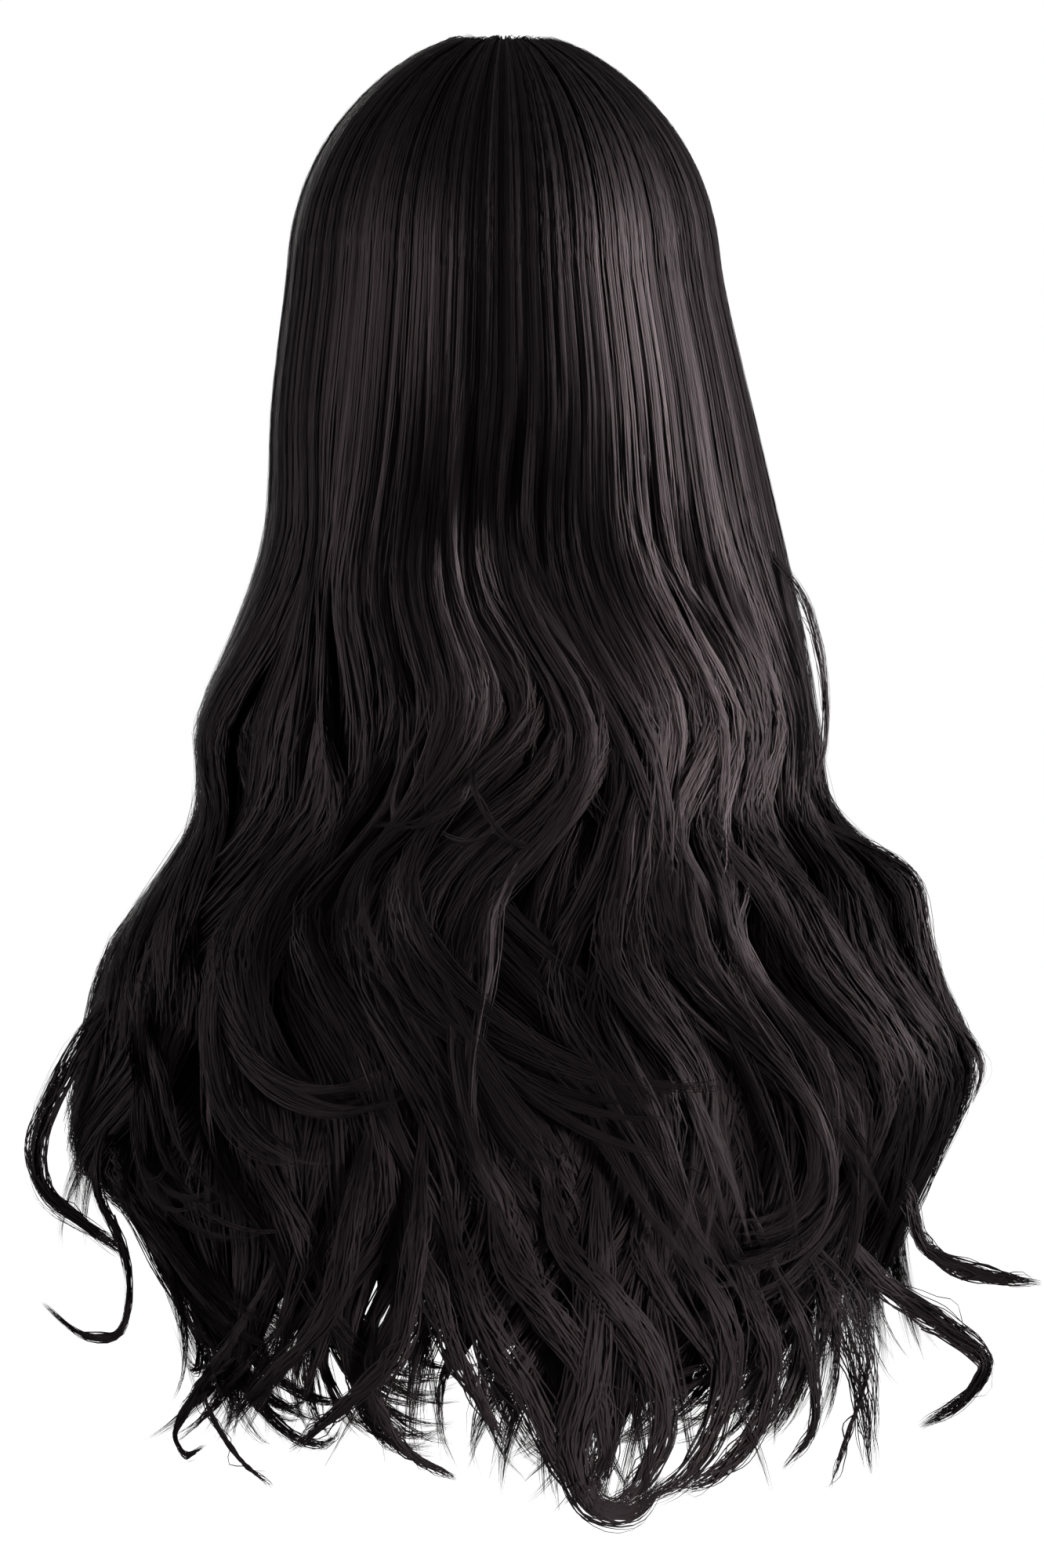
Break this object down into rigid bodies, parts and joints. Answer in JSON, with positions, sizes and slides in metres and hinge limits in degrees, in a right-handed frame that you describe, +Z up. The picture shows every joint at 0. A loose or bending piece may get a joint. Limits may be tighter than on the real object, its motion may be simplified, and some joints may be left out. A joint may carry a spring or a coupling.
{
  "type": "wavy synthetic wig",
  "caption": "Long layered wavy wig: a stretch cap with a centre parting, and panels of dark hair that fall from it in loose S-shaped locks; worn over the head.",
  "frame": {"origin": "the point where the top of the wearer's head meets the inside of the cap", "axes": "+Z up, +Y the way the wearer faces, +X to the wearer's right"},
  "size_m": [0.4484, 0.2469, 0.6581],
  "materials": {
    "cap_net": "matt black stretch net",
    "parting_base": "matt skin-toned parting base",
    "hair_fibre": "soft-sheen near-black synthetic fibre"
  },
  "bodies": {
    "root": {"wig_cap": "cap_net", "parting_strip": "parting_base", "crown_hair": "hair_fibre", "back_hair": "hair_fibre", "nape_hair": "hair_fibre", "left_front_hair": "hair_fibre", "right_front_hair": "hair_fibre"}
  },
  "joints": []
}
